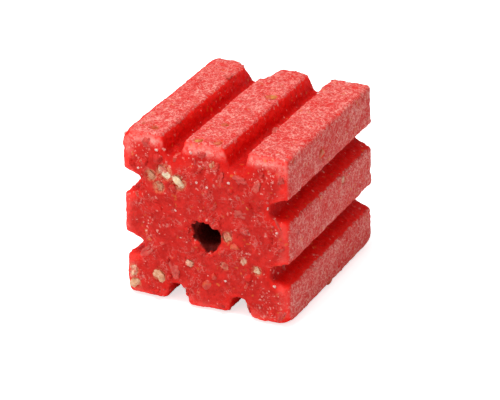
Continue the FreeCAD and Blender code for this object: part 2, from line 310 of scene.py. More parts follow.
BARED = (                       # where the wax is worn off cereal, from the block's centre: x, y, z,
    (-6.9, -16.0, 8.5, 1.7, 1.0),       # how far around, and how clean of red the cereal is
    (-4.4, -16.0, 7.3, 1.7, 1.0),
    (-9.3, -16.0, 7.6, 1.3, 1.0),
    (-7.9, -16.0, 5.9, 1.3, 1.0),
    (-8.5, -16.0, -10.2, 1.4, 0.8),
    (-13.3, -16.0, -10.2, 1.3, 0.9),
    (-13.0, -16.0, -12.5, 1.3, 0.9),
    (9.0, -16.0, -5.4, 1.1, 0.7),
    (3.9, -16.0, -0.6, 1.2, 0.8),
    (3.2, -16.0, -5.9, 1.0, 0.4),
    (-2.8, -16.0, -6.7, 0.9, 0.6),
    (6.6, -16.0, -4.2, 0.9, 0.6),
    (1.5, -16.0, 11.4, 1.0, 0.5),
    (-1.6, -14.0, 14.5, 1.0, 0.5),
    (1.6, -13.7, 14.5, 1.0, 0.5),
    (1.7, 4.8, 14.5, 1.3, 0.4),
    (-9.9, -12.8, 14.5, 1.0, 0.4),
    (-0.2, -7.4, 14.5, 0.9, 0.4),
    (14.5, -3.2, 10.4, 1.3, 0.5),
    (14.5, 4.8, 2.2, 1.0, 0.6),
    (11.3, -1.1, 5.6, 1.4, 0.9),
    (11.3, -8.2, -5.4, 1.1, 0.5),
    (11.3, -1.6, -6.0, 1.1, 0.5),
    (3.8, 16.0, 6.4, 1.6, 1.0),
    (-6.2, 16.0, 8.9, 1.5, 1.0),
)
SPECKLED = (                    # where a cut end is full of pale meal, from its centre: x, z, reach
    (11.5, -11.5, 4.6),
    (7.6, -7.9, 2.0),
    (6.4, -3.2, 1.8),
    (2.8, -5.2, 2.2),
    (3.6, -0.4, 1.6),
    (-7.0, -1.6, 2.0),
    (-10.2, -0.4, 1.8),
    (-12.6, 3.6, 2.6),
    (-9.2, -5.9, 1.5),
    (-12.6, -10.5, 2.6),
    (-8.3, -11.8, 1.8),
    (-12.0, 11.0, 3.4),
    (-1.0, 11.6, 3.6),
    (10.5, 12.0, 4.4),
    (0.0, 1.6, 1.6),
)


def block_field():
    """The distance field of the block without its roughness, wax and cereal joined."""
    joined = Field(SHALLOW)
    for name in sorted(frame["nodes"]):
        points, triangles = node_surface(name)
        joined.add(points, triangles, swell=0.0 if name == WAX else SEAM)
    whole = Field(BAND)
    whole.add(*joined.polygons())
    along = (np.arange(whole.size[1]) + whole.start[1]) * VOXEL - CENTRE[1]
    past_end = np.abs(along) - HALF_LENGTH
    whole.values = np.maximum(whole.values, past_end.astype(np.float32)[None, :, None])
    whole.values = np.clip(whole.values, -BAND, BAND)
    return whole


def end_share(points):
    """1 on the cut ends, 0 on the ribbed sides."""
    from_middle = np.abs(points[:, 1] - CENTRE[1])
    return ramp(from_middle, HALF_LENGTH - END_SKIN[0], HALF_LENGTH - END_SKIN[1])


def groove_share(points):
    """How deep a place on a ribbed side is: 0 at the ribs' outer faces, 1 at a groove's floor."""
    across = np.abs(points[:, [0, 2]] - CENTRE[[0, 2]]).max(axis=1)
    return np.clip((HALF - across) / GROOVE_DEPTH, 0, 1)


def bore_shade_share(points):
    """1 on the bore's wall, where its painted shade goes, 0 outside its mouth."""
    from_axis = np.hypot(points[:, 0] - BORE_X, points[:, 2] - BORE_Z)
    depth = HALF_LENGTH - np.abs(points[:, 1] - CENTRE[1])
    ring = ramp(from_axis, BORE_RADIUS + WALL_RING[0], BORE_RADIUS + WALL_RING[1])
    return ring * ramp(depth, 0.0, WALL_DEPTH)


def bare_share(points, by_cleanness=False):
    """1 where the wax is worn off a cereal piece, 0 elsewhere. If asked, less where the piece is redder."""
    share = np.zeros(len(points), np.float32)
    for *place, reach, clean in BARED:
        away = np.linalg.norm(points - (CENTRE + place), axis=1)
        most = clean if by_cleanness else 1
        share = np.maximum(share, ramp(away, reach, BARE_CORE * reach) * most)
    return share


def speckled_share(points):
    """1 in the middle of a patch of pale meal on a cut end, 0 outside the patches."""
    share = np.zeros(len(points), np.float32)
    for x, z, reach in SPECKLED:
        away = np.hypot(points[:, 0] - CENTRE[0] - x, points[:, 2] - CENTRE[2] - z)
        share = np.maximum(share, ramp(away, reach, SPECKLED_CORE * reach))
    return share * end_share(points)


def torn_share(points):
    """1 at the top of the cut ends, which is torn, 0 elsewhere."""
    return end_share(points) * ramp(points[:, 2] - CENTRE[2], *TORN_HEIGHTS)


def past_bevels(points):
    """For each worn long edge, its outward direction and how far past its bevel each point is."""
    for across, up, gone in WORN_EDGES:
        outward = np.array([across, 0, up]) / math.sqrt(2)
        limit = math.sqrt(2) * HALF - gone - BEVEL_SOFTNESS
        yield outward, np.maximum((points - CENTRE) @ outward - limit, 0)


def wear_depth(places, end, torn, edge, rim):
    """How far the surface is worn back at its edges, rims, slumped tops and worn long edges."""
    on_sides, more_on_ends = EDGE_WEAR
    patchy = 0.4 + 1.2 * noise(places, 2.2, 11)
    wear = np.maximum(edge, 0) * (on_sides + more_on_ends * end) * patchy
    broken = 0.5 + 0.8 * noise(places, 3.0, 12)
    wear += np.maximum(rim, 0) * torn * broken
    wear += SLUMP * torn ** 1.5
    for _, past in past_bevels(places):
        wear += BEVEL_SHARE * past
    return wear


def roughen(field, smooth, edge, rim):
    """Rounds the edges and gives the surface its lumps and grains."""
    where, places = field.near(ROUGHENED)
    end = end_share(places)
    torn = torn_share(places)
    relief = 0.0
    for kind, size, seed, middle, depth, at_ends, where_torn in RELIEF:
        relief += (kind(places, size, seed) - middle) * (depth + at_ends * end + where_torn * torn)
    wear = wear_depth(places, end, torn, edge[where], rim[where])
    bare = bare_share(places)
    field.values[where] = smooth[where] + wear - relief * (1 - bare) + BARE_DEPTH * bare


def surface_normals(field, points):
    """The outward direction at points on the field's surface."""
    normals = np.empty_like(points)
    for axis in range(3):
        step = np.zeros(3, np.float32)
        step[axis] = VOXEL
        ahead = field.sample(points + step, field.values)
        behind = field.sample(points - step, field.values)
        normals[:, axis] = ahead - behind
    return normals / np.maximum(np.linalg.norm(normals, axis=1), 1e-6)[:, None]


def pick_surface(field, rng, count, weight):
    """Random places on the surface, with their outward directions. weight says how likely each place is."""
    points = field.polygons()[0]
    chance = weight(points)
    chosen = rng.choice(len(points), count, replace=False, p=chance / chance.sum())
    points = points[chosen]
    return points, surface_normals(field, points)


def stick(field, rng, count, weight, radii, sink, sign):
    """Adds balls (sign 1) or scoops them out (-1) at random, their middles sink radii under the surface."""
    points, normals = pick_surface(field, rng, count, weight)
    for point, normal, radius in zip(points, normals, rng.uniform(*radii, len(points))):
        field.stamp(point - normal * radius * sink, radius, CRUMB_BLEND, sign)


def crumble(field, rng):
    """Sticks crumbs on the surface and tears pits in it, more on the cut ends than on the sides."""
    def crumb_chance(points):
        chance = 0.3 + 0.2 * end_share(points) + 1.6 * speckled_share(points)
        return chance * (1 - bare_share(points))

    def pit_chance(points):
        return 0.3 + 0.4 * end_share(points)

    stick(field, rng, CRUMBS, crumb_chance, CRUMB_RADII, CRUMB_SINK, 1)
    stick(field, rng, PITS, pit_chance, PIT_RADII, -PIT_RISE, -1)


def tear_mouth(field):
    """Bites pieces out of both mouths of the bore and leaves lumps around them."""
    for end in (-1, 1):
        for angle, away, radius, sign in MOUTH:
            turn = math.radians(angle)
            place = np.array([
                BORE_X + end * -away * math.cos(turn),
                CENTRE[1] + end * (HALF_LENGTH - MOUTH_DEPTH),
                BORE_Z + away * math.sin(turn),
            ])
            field.stamp(place, radius, MOUTH_BLEND, sign)


def wax_field(rng):
    """The finished field of the wax, the field before it was roughened, and how far each edge stands."""
    field = block_field()
    smooth = field.values.copy()
    edge = blurred(smooth, EDGE_REACH) - smooth
    rim = blurred(smooth, RIM_REACH) - smooth
    roughen(field, smooth, edge, rim)
    for x, y, z, radius in SCOOPS:
        field.stamp(np.array([x, y, z]) + CENTRE, radius, SCOOP_BLEND, -1)
    tear_mouth(field)
    crumble(field, rng)
    return field, smooth, rim


# ---------------------------------------------------------------- meshes

def new_object(name, points, faces):
    """A shaded mesh object that rides on the block, from points in millimetres."""
    mesh = bpy.data.meshes.new(name)
    mesh.from_pydata((points / MM).tolist(), [], [list(face) for face in faces])
    mesh.validate()
    mesh.shade_smooth()
    piece = bpy.data.objects.new(name, mesh)
    bpy.context.scene.collection.objects.link(piece)
    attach(piece, BODY)
    return piece


def thin_out(piece, triangles):
    """Merges the piece's triangles, flattest places first, down to a number of them."""
    piece.data.calc_loop_triangles()
    now = len(piece.data.loop_triangles)
    if now <= triangles:
        return
    modifier = piece.modifiers.new("thin", "DECIMATE")
    modifier.ratio = triangles / now
    evaluated = piece.evaluated_get(bpy.context.evaluated_depsgraph_get())
    thin = bpy.data.meshes.new_from_object(evaluated)
    piece.modifiers.clear()
    piece.data = thin
    thin.shade_smooth()


def vertex_places(mesh):
    places = np.empty(len(mesh.vertices) * 3, np.float32)
    mesh.vertices.foreach_get("co", places)
    return places.reshape(-1, 3) * MM


def set_attribute(mesh, name, values):
    attribute = mesh.attributes.new(name, "FLOAT", "POINT")
    attribute.data.foreach_set("value", np.ascontiguousarray(values, np.float32))


def island_labels(count, faces):
    """For each point, the lowest-numbered point that faces join it to."""
    edges = np.concatenate([faces[:, [i, (i + 1) % faces.shape[1]]] for i in range(faces.shape[1])])
    label = np.arange(count)
    while True:
        before = label.copy()
        low = label[edges].min(axis=1)
        np.minimum.at(label, edges[:, 0], low)
        np.minimum.at(label, edges[:, 1], low)
        label = label[label]
        if (label == before).all():
            return label


def build_wax(field, smooth, rim):
    """The wax body, with what its material needs to know at each vertex."""
    points, _, quads = field.polygons()
    label = island_labels(len(points), quads)
    keep = label == np.bincount(label).argmax()
    renumber = np.cumsum(keep) - 1
    quads = renumber[quads[keep[quads[:, 0]]]]
    wax = new_object("wax_block_grainy", points[keep], quads)
    thin_out(wax, WAX_TRIANGLES)
    places = vertex_places(wax.data)
    set_attribute(wax.data, "raised", field.sample(places, smooth))
    set_attribute(wax.data, "cut_end", end_share(places))
    set_attribute(wax.data, "groove", groove_share(places))
    set_attribute(wax.data, "bore_wall", bore_shade_share(places))
    set_attribute(wax.data, "rim", field.sample(places, rim))
    set_attribute(wax.data, "speckled", speckled_share(places))
    set_attribute(wax.data, "bare", bare_share(places, by_cleanness=True))
    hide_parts(WAX)
    return wax


# ---------------------------------------------------------------- cereal pieces

def solids_of(name):
    """The vertices of each separate solid of a CAD node, in millimetres."""
    points, triangles = node_surface(name)
    label = island_labels(len(points), triangles)
    return [points[label == one] for one in np.unique(label)]


def lying(points):
    """The centre, the three main directions (longest first) and the half sizes of a solid."""
    middle = (points.min(axis=0) + points.max(axis=0)) / 2
    _, directions = np.linalg.eigh(np.cov((points - middle).T))
    directions = directions[:, ::-1]
    if np.linalg.det(directions) < 0:
        directions[:, 2] *= -1
    along = (points - middle) @ directions
    centre = middle + directions @ ((along.max(axis=0) + along.min(axis=0)) / 2)
    return centre, directions, (along.max(axis=0) - along.min(axis=0)) / 2


def ball(fineness):
    """The unit ball's points and triangles."""
    mesh = bmesh.new()
    bmesh.ops.create_icosphere(mesh, subdivisions=fineness, radius=1.0)
    points = np.array([vertex.co[:] for vertex in mesh.verts])
    faces = np.array([[vertex.index for vertex in face.verts] for face in mesh.faces])
    mesh.free()
    return points, faces


def cleaved(points, rng, count, low, high):
    """The ball cut by flat breaks, each between low and high from its middle."""
    for _ in range(count):
        normal = rng.normal(size=3)
        normal /= np.linalg.norm(normal)
        past = np.maximum(points @ normal - rng.uniform(low, high), 0)
        points = points - past[:, None] * normal
    return points


# Shapes of the grains, in shares of a grain's half size
CREASE_WIDTH = 0.16
CREASE_DEPTH = 0.45
CREASE_END = 0.85               # how far along a flake its crease reaches
FLATNESS = 0.45                 # the power that makes a ball's two sides flat
KERNEL_GROOVE_WIDTH = 0.22
KERNEL_GROOVE_DEPTH = 0.25
SQUARENESS = 0.65               # how much of a crystal's shape is a cube, the rest being a ball


def flake_form(points, rng):
    """A rolled flake: flat, with a wavy and cracked rim, a crease and a slight curl."""
    angle = np.arctan2(points[:, 1], points[:, 0])
    rim = np.ones(len(points))
    for waves in (2, 3, 5, 9):
        rim += rng.uniform(0.02, 0.11) * np.sin(waves * angle + rng.uniform(0, 2 * math.pi))
    out = points.copy()
    out[:, :2] = cleaved(points, rng, 5, 0.55, 0.95)[:, :2] * rim[:, None]
    out[:, 2] = np.sign(points[:, 2]) * np.abs(points[:, 2]) ** FLATNESS
    from_crease = points[:, 1] + 0.15 * np.sin(3 * points[:, 0])
    crease = np.exp(-(from_crease / CREASE_WIDTH) ** 2)
    out[:, 2] -= CREASE_DEPTH * crease * np.sign(points[:, 2]) * (np.abs(points[:, 0]) < CREASE_END)
    out[:, 2] += rng.uniform(-0.5, 0.5) * points[:, 0] ** 2 + rng.uniform(-0.6, 0.6) * points[:, 1] ** 2
    return out


def sliver_form(points, rng):
    """A strip of husk that tapers to both ends and twists."""
    taper = np.sqrt(np.clip(1 - np.abs(points[:, 0]) ** 1.6, 0.02, 1))
    out = points.copy()
    out[:, 1] *= 0.55 + 0.45 * taper
    out[:, 2] += rng.uniform(-0.8, 0.8) * points[:, 0] ** 2
    turn = rng.uniform(-0.7, 0.7) * points[:, 0]
    y, z = out[:, 1].copy(), out[:, 2].copy()
    out[:, 1] = y * np.cos(turn) - z * np.sin(turn)
    out[:, 2] = y * np.sin(turn) + z * np.cos(turn)
    return out


def chip_form(points, rng):
    """A cracked kernel: rounded on one side, broken flat on others, with a groove along it."""
    out = cleaved(points, rng, 4, 0.5, 0.85)
    groove = np.exp(-(points[:, 1] / KERNEL_GROOVE_WIDTH) ** 2) * (points[:, 2] > 0)
    out[:, 2] -= KERNEL_GROOVE_DEPTH * groove
    return out


def grit_form(points, rng):
    """An angular fragment with sharp flat breaks."""
    return cleaved(points, rng, 9, 0.5, 0.8) * 1.12


def crumb_form(points, rng):
    """A lump of wax and meal, with breaks all round."""
    return cleaved(points, rng, 8, 0.5, 0.9)


def prill_form(points, rng):
    """A small roundish grain with a few breaks."""
    return cleaved(points, rng, 5, 0.6, 0.95)


def crystal_form(points, rng):
    """A square crystal with worn corners."""
    cube = points / np.abs(points).max(axis=1)[:, None]
    return cleaved((1 - SQUARENESS) * points + SQUARENESS * cube, rng, 1, 0.8, 1.0)


# node: new piece's name, form, fineness of its ball, size of its surface noise, how far that moves it
CEREALS = {
    "rolled_oat_flakes": ("oat_flakes_rolled", flake_form, 4, 0.55, 0.34),
    "wheat_chips": ("wheat_chips_cracked", chip_form, 4, 0.65, 0.55),
    "yellow_maize_grits": ("maize_grits_yellow", grit_form, 3, 0.5, 0.30),
    "orange_maize_grits": ("maize_grits_orange", grit_form, 3, 0.5, 0.30),
    "wheat_bran_flakes": ("bran_flakes_curled", flake_form, 4, 0.5, 0.45),
    "oat_husk_slivers": ("husk_slivers_split", sliver_form, 3, 0.3, 0.10),
    "bore_mouth_crumbs": ("bore_crumbs_torn", crumb_form, 4, 0.5, 0.40),
    "dyed_meal_crumbs": ("meal_crumbs_dyed", crumb_form, 4, 0.6, 0.45),
    "starch_prills": ("starch_prills_pale", prill_form, 2, 0.35, 0.22),
    "sugar_crystals": ("sugar_crystals_clear", crystal_form, 2, 0.3, 0.05),
}
FINE_NOISE = 0.45               # the finer noise's size and depth, against the surface noise's


def cleanness(centre):
    """How clean of red wax a piece at centre is, from 0 to 1."""
    near = [
        clean for *place, reach, clean in BARED
        if np.linalg.norm(centre - CENTRE - place) < reach
    ]
    return max(near, default=0.0)


def roughened(shapes, centres, size, depth):
    """Grains with lumps of this size and depth, and finer ones. Shapes are grain by point by axis."""
    outward = shapes - centres[:, None]
    outward /= np.maximum(np.linalg.norm(outward, axis=2, keepdims=True), 1e-6)
    points = shapes.reshape(-1, 3)
    lumps = noise(points, size, 61) - 0.5
    lumps += FINE_NOISE * (noise(points, size * FINE_NOISE, 62) - 0.5)
    return shapes + outward * depth * lumps.reshape(len(shapes), -1, 1)


def seated(shapes, field):
    """Moves each grain in until its middle is in the wax, and shears it off where it leaves the block."""
    for _ in range(SEAT_STEPS):
        middles = shapes.mean(axis=1)
        out = np.maximum(field.sample(middles, field.values) + SEAT_DEPTH, 0)
        shapes = shapes - (out[:, None] * surface_normals(field, middles))[:, None]
    reach = np.array([HALF, HALF_LENGTH, HALF]) + FLUSH
    points = np.clip(shapes, CENTRE - reach, CENTRE + reach).reshape(-1, 3)
    for outward, past in past_bevels(points):
        points = points - np.maximum(past - BEVEL_SOFTNESS, 0)[:, None] * outward
    return points.reshape(shapes.shape)


def build_cereal(node, rng, field):
    """One new piece for a CAD node: a finer grain in each place where the node has a solid."""
    name, form, fineness, noise_size, noise_depth = CEREALS[node]
    unit, faces = ball(fineness)
    shapes, centres, tints = [], [], []
    for solid in solids_of(node):
        centre, directions, half_sizes = lying(solid)
        shapes.append(centre + (form(unit, rng) * half_sizes) @ directions.T)
        centres.append(centre)
        tints.append(rng.random())
    shapes = roughened(np.array(shapes), np.array(centres), noise_size, noise_depth)
    shapes = seated(shapes, field)
    all_faces = np.concatenate([faces + len(unit) * i for i in range(len(shapes))])
    piece = new_object(name, shapes.reshape(-1, 3), all_faces)
    set_attribute(piece.data, "tint", np.repeat(tints, len(unit)))
    cleans = [cleanness(centre) for centre in centres]
    set_attribute(piece.data, "clean", np.repeat(cleans, len(unit)))
    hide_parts(node)
    return piece


# ---------------------------------------------------------------- materials

class Shader:
    """A material's node tree, with short calls for adding to it. Sizes are in millimetres."""

    def __init__(self, name):
        self.material = bpy.data.materials.new(name)
        self.material.use_nodes = True
        self.tree = self.material.node_tree
        self.tree.nodes.clear()
        self.place = self.add("ShaderNodeTexCoord").outputs["Object"]

    def add(self, kind, inputs=(), **settings):
        node = self.tree.nodes.new(kind)
        for name, value in settings.items():
            setattr(node, name, value)
        for key, value in dict(inputs).items():
            if isinstance(value, bpy.types.NodeSocket):
                self.tree.links.new(value, node.inputs[key])
            else:
                node.inputs[key].default_value = value
        return node

    def math(self, operation, a, b=0.0):
        return self.add("ShaderNodeMath", {0: a, 1: b}, operation=operation).outputs[0]

    def times(self, product, *others):
        for other in others:
            product = self.math("MULTIPLY", product, other)
        return product

    def plus(self, total, *others):
        for other in others:
            total = self.math("ADD", total, other)
        return total

    def spread(self, value, low, high, start=0.0, end=1.0):
        """value between low and high, spread over start to end."""
        inputs = {"Value": value, "From Min": low, "From Max": high, "To Min": start, "To Max": end}
        return self.add("ShaderNodeMapRange", inputs).outputs["Result"]

    def mix(self, share, first, second):
        """Colours mixed: first where share is 0, second where it is 1."""
        node = self.add("ShaderNodeMix", {0: share}, data_type="RGBA")
        for index, colour in ((6, first), (7, second)):
            if isinstance(colour, bpy.types.NodeSocket):
                self.tree.links.new(colour, node.inputs[index])
            else:
                node.inputs[index].default_value = (*colour, 1.0)
        return node.outputs[2]

    def noise(self, size, detail=3.0, roughness=0.55):
        inputs = {
            "Vector": self.place, "Scale": MM / size, "Detail": detail, "Roughness": roughness
        }
        return self.add("ShaderNodeTexNoise", inputs).outputs["Fac"]

    def threads(self, size, width):
        """Curling threads about size apart: 1 along a thread, 0 between threads."""
        off_thread = self.math("ABSOLUTE", self.math("SUBTRACT", self.noise(size, 2.0), 0.5))
        return self.spread(off_thread, width, 0.0)

    def cells(self, size):
        """Cells about size across: the distance from each one's middle, and each one's random colour."""
        node = self.add("ShaderNodeTexVoronoi", {"Vector": self.place, "Scale": MM / size})
        return node.outputs["Distance"], node.outputs["Color"]

    def channel(self, colour, name="Red"):
        return self.add("ShaderNodeSeparateColor", {"Color": colour}).outputs[name]

    def attribute(self, name):
        return self.add("ShaderNodeAttribute", attribute_name=name).outputs["Fac"]

    def bump(self, height, depth, below=None):
        """A bump of this depth in millimetres, on top of another one if given."""
        inputs = {"Height": height, "Distance": depth / MM, "Strength": 1.0}
        if below is not None:
            inputs["Normal"] = below
        return self.add("ShaderNodeBump", inputs).outputs["Normal"]

    def finish(self, **inputs):
        """The surface: a Principled shader with these inputs, spaces in names written as _."""
        named = {name.replace("_", " "): value for name, value in inputs.items()}
        surface = self.add("ShaderNodeBsdfPrincipled", named)
        output = self.add("ShaderNodeOutputMaterial")
        self.tree.links.new(surface.outputs[0], output.inputs[0])
        return self.material


# painted shade: the red deep in a groove, darker than at its mouth
GROOVE_SHADE_RED = (0.74, 0.0030, 0.0015)
# painted glow: the bright red at a groove's mouth and on a cut end's rims
PAINTED_GLOW_RED = (0.97, 0.016, 0.009)
CUT_RED = (0.52, 0.012, 0.008)
WAX_RED = (0.66, 0.020, 0.014)
LIT_RED = (0.70, 0.022, 0.018)
# the pale bloom on the wax; on the ribs' high spots and the cut ends' top rims it is also a painted
# highlight
BLOOM_AND_HIGHLIGHT_PINK = (0.90, 0.36, 0.31)
# painted shade on a groove's floor
GROOVE_FLOOR_SHADE_RED = (0.36, 0.006, 0.004)
BRAN_DUST = (0.74, 0.30, 0.16)
PALE_SPECK = (0.92, 0.50, 0.42)
GOLD_SPECK = (0.74, 0.26, 0.05)
BROWN_SPECK = (0.34, 0.05, 0.02)
# painted shade: the nearly black red inside the bore
BORE_SHADE_RED = (0.120, 0.006, 0.004)
# painted shade: the dark red of the pores on a cut end
PORE_SHADE_RED = (0.20, 0.006, 0.004)

PALE_BITS = (                   # cell size, share in patches, share elsewhere and on ribs, strength
    (0.60, 0.20, 0.03, 0.06, 0.52),
    (0.32, 0.10, 0.02, 0.20, 0.62),
)
COLOURED_BITS = (               # cell size, share, colour, strength
    (0.70, 0.05, GOLD_SPECK, 0.40),
    (0.55, 0.05, BROWN_SPECK, 0.40),
)
FILM = (0.02, 0.17)             # the bloom's thinnest and thickest film on the ribs
FILM_THREADS = (0.55, 0.98)     # its threads on top of the film, in thin and thick patches
MOST_BLOOM = 0.95
TOP_RIM = (4.2, 1.2)            # how far below the top the bloom and painted highlight on a rim start and are full
SIDE_EDGE = (0.13, 0.05)        # how deep, in shares of a groove, the ribs' look ends and is full


def cut_red(s):
    """The red of a cut end, in soft patches, with dark pores of painted shade and pale threads of meal."""
    patches = s.plus(s.noise(1.6, 5.0, 0.6), s.spread(s.noise(5.0), 0.3, 0.7, -0.08, 0.08))
    colour = s.mix(s.spread(patches, 0.40, 0.62), CUT_RED, WAX_RED)
    porous = s.spread(s.noise(2.6), 0.40, 0.60)
    # painted shade: dark spots for the shade in small pores
    pores = s.times(s.spread(s.noise(0.5, 4.0, 0.65), 0.55, 0.68), porous, 0.60)
    colour = s.mix(pores, colour, PORE_SHADE_RED)
    mealy = s.spread(s.noise(1.9, 3.0), 0.48, 0.66, 0.0, 0.25)
    return s.mix(s.times(s.threads(0.8, 0.05), mealy), colour, PALE_SPECK)


def groove_glow_and_shade(s, groove):
    """Saturated red, brightest at a groove's mouth with a painted glow, and darkest on its floor with
    mottled painted shade.
    """
    colour = s.mix(s.spread(groove, 0.12, 0.62), PAINTED_GLOW_RED, GROOVE_SHADE_RED)
    # painted shade, darker towards the floor and in mottled patches
    shade_to_floor = s.spread(groove, 0.55, 1.0, 0.0, 0.45)
    shade_streaks = s.spread(s.noise(0.8, 4.0), 0.50, 0.66, 0.0, 0.30)
    shade = s.times(s.plus(shade_to_floor, shade_streaks), s.spread(groove, 0.12, 0.30))
    return s.mix(shade, colour, GROOVE_FLOOR_SHADE_RED)


def add_specks(s, colour, cell_size, share, tint, strength):
    """Ragged specks in a share of the cells of this size, each with a strength of its own."""
    away, cell = s.cells(cell_size)
    ragged = s.spread(s.noise(cell_size * 0.55, 3.0), 0.3, 0.7, -0.36, 0.36)
    speck = s.spread(s.plus(away, ragged), 0.48, 0.28)
    chosen = s.math("GREATER_THAN", s.channel(cell), s.math("SUBTRACT", 1.0, share))
    own = s.spread(s.channel(cell, "Green"), 0.0, 1.0, 0.35 * strength, strength)
    return s.mix(s.times(chosen, speck, own), colour, tint)


def add_meal(s, colour, side):
    """Bits of meal in the wax: pale ones, most of them in patches and on the ribs, and coloured ones."""
    speckled = s.attribute("speckled")
    for size, in_patches, elsewhere, on_ribs, strength in PALE_BITS:
        share = s.plus(s.times(speckled, in_patches), s.spread(side, 0, 1, elsewhere, on_ribs))
        colour = add_specks(s, colour, size, share, PALE_SPECK, strength)
    for size, share, tint, strength in COLOURED_BITS:
        colour = add_specks(s, colour, size, share, tint, strength)
    return colour


def rib_bloom_and_highlight(s, raised):
    """How much pale bloom a rib has: a film with curling threads, thicker in patches, and more of it on
    high spots than in dips, as a painted highlight and painted shade.
    """
    threads = s.math("MAXIMUM", s.threads(1.5, 0.034), s.threads(0.8, 0.032))
    patches = s.spread(s.noise(3.2, 3.0), 0.34, 0.62)
    film = s.spread(patches, 0.0, 1.0, *FILM)
    film = s.plus(film, s.times(threads, s.spread(patches, 0.0, 1.0, *FILM_THREADS)))
    uneven = s.spread(s.noise(0.35, 4.0, 0.7), 0.34, 0.62, 0.60, 1.20)
    # painted highlight and shade: paler on high spots, darker in dips
    return s.times(film, uneven, s.spread(raised, 0.0, 0.8, 0.35, 1.0))


def rim_bloom_and_highlight(s, rim, end, groove):
    """How much pale bloom a cut end's outer rim has: blotches of it, mostly at the top, where it is partly
    a painted highlight.
    """
    height = s.add("ShaderNodeSeparateXYZ", {0: s.place}).outputs["Z"]
    low, high = ((HIGH[2] - below) / MM for below in TOP_RIM)
    # painted highlight: more of it along the top edge
    near_top_highlight = s.times(s.spread(height, low, high, 0.10, 1.0), s.spread(groove, 0.75, 0.35))
    blotches = s.math("MAXIMUM", s.spread(s.noise(1.1, 4.0), 0.42, 0.58), s.threads(0.9, 0.06))
    blotches = s.spread(blotches, 0.0, 1.0, 0.30, 1.35)
    return s.times(end, s.spread(rim, 0.05, 0.45), near_top_highlight, blotches)


def grainy_normal(s):
    return s.bump(s.plus(s.noise(0.30, 4.0, 0.7), s.noise(0.6, 3.0)), 0.08)


def waxy(s, colour, normal):
    """The finished material: wax with a dull shine, that light gets a little way into."""
    return s.finish(
        Base_Color=colour,
        Roughness=s.spread(s.noise(0.5), 0.35, 0.65, 0.42, 0.75),
        Normal=normal,
        IOR=1.44,
        Specular_IOR_Level=0.14,
        Subsurface_Weight=0.15,
        Subsurface_Radius=(1.0, 0.12, 0.08),
        Subsurface_Scale=0.0010,
    )


def wax_material():
    """Red wax and meal: deep red with a painted glow and painted shade in the grooves, bloomed pink on the
    ribs, with pale meal in it, and painted shade in the bore.
    """
    s = Shader("wax_and_meal")
    end = s.attribute("cut_end")
    rim = s.attribute("rim")
    ragged = s.times(s.math("SUBTRACT", s.noise(1.4, 4.0), 0.5), 0.30)
    groove = s.plus(s.attribute("groove"), ragged)
    side = s.times(s.spread(groove, *SIDE_EDGE), s.math("SUBTRACT", 1.0, end))

    # painted glow: a cut end's rims are mixed towards bright red
    cut = s.mix(s.times(s.spread(rim, 0.15, 0.60), 0.75), cut_red(s), PAINTED_GLOW_RED)
    # the grooves get their painted glow and painted shade
    colour = s.mix(end, groove_glow_and_shade(s, groove), cut)
    colour = s.mix(side, colour, LIT_RED)
    raised = s.spread(s.attribute("raised"), -0.22, 0.15)
    on_ribs = s.times(rib_bloom_and_highlight(s, raised), side)
    # the rims' bloom is partly a painted highlight along the top
    bloom = s.math("MAXIMUM", on_ribs, rim_bloom_and_highlight(s, rim, end, groove))
    colour = s.mix(s.math("MINIMUM", bloom, MOST_BLOOM), colour, BLOOM_AND_HIGHLIGHT_PINK)
    colour = add_meal(s, colour, side)
    dusty = s.spread(s.noise(0.40, 4.0, 0.65), 0.42, 0.54, 0.0, 0.80)
    colour = s.mix(s.times(s.attribute("bare"), dusty), colour, BRAN_DUST)
    # painted shade: the bore's wall is made nearly black
    colour = s.mix(s.attribute("bore_wall"), colour, BORE_SHADE_RED)
    return waxy(s, colour, s.bump(s.noise(0.12, 2.0), 0.02, grainy_normal(s)))


def crumb_material(name, bloom):
    """Loose lumps of the wax and meal, the same red as the cut ends."""
    s = Shader(name)
    cover = s.times(s.spread(s.attribute("tint"), 0.5, 1.0), bloom)
    colour = s.mix(cover, cut_red(s), BLOOM_AND_HIGHLIGHT_PINK)
    colour = add_specks(s, colour, 0.45, 0.05, PALE_SPECK, 0.6)
    return waxy(s, colour, grainy_normal(s))


def cereal_material(name, light, dark, stained, grain_size, roughness):
    """Dry cereal, mottled, with red wax on it in patches: nearly all over where it isn't clean."""
    s = Shader(name)
    tint = s.attribute("tint")
    mottle = s.plus(s.noise(grain_size, 4.0, 0.65), s.spread(tint, 0, 1, -0.12, 0.12))
    colour = s.mix(s.spread(mottle, 0.38, 0.62), dark, light)
    patch = s.plus(s.noise(0.9, 3.0), s.spread(tint, 0, 1, -0.1, 0.1))
    clean = s.attribute("clean")
    buried_film = s.times(s.spread(patch, 0.30, 0.55, stained, 0.97), s.math("SUBTRACT", 1.0, clean))
    clean_film = s.times(s.spread(patch, 0.52, 0.66, 0.0, 0.8), clean)
    colour = s.mix(s.plus(buried_film, clean_film), colour, cut_red(s))
    return s.finish(
        Base_Color=colour,
        Roughness=s.spread(s.noise(0.3), 0.3, 0.7, roughness - 0.12, roughness + 0.12),
        Normal=s.bump(s.noise(grain_size * 0.5, 4.0), 0.08),
        Subsurface_Weight=0.2,
        Subsurface_Radius=(1.0, 0.5, 0.3),
        Subsurface_Scale=0.0006,
    )


def sugar_material():
    """Clear crystals, frosted on the outside."""
    s = Shader("sugar_crystal")
    colour = s.mix(s.spread(s.noise(0.25), 0.35, 0.65), (0.90, 0.42, 0.36), (0.96, 0.68, 0.61))
    return s.finish(
        Base_Color=colour,
        Roughness=s.spread(s.noise(0.15), 0.3, 0.7, 0.12, 0.4),
        Normal=s.bump(s.noise(0.1), 0.02),
        Transmission_Weight=0.25,
        IOR=1.54,
    )


FLOOR_GLOW = 0.65               # light that the floor gives off, for the camera only


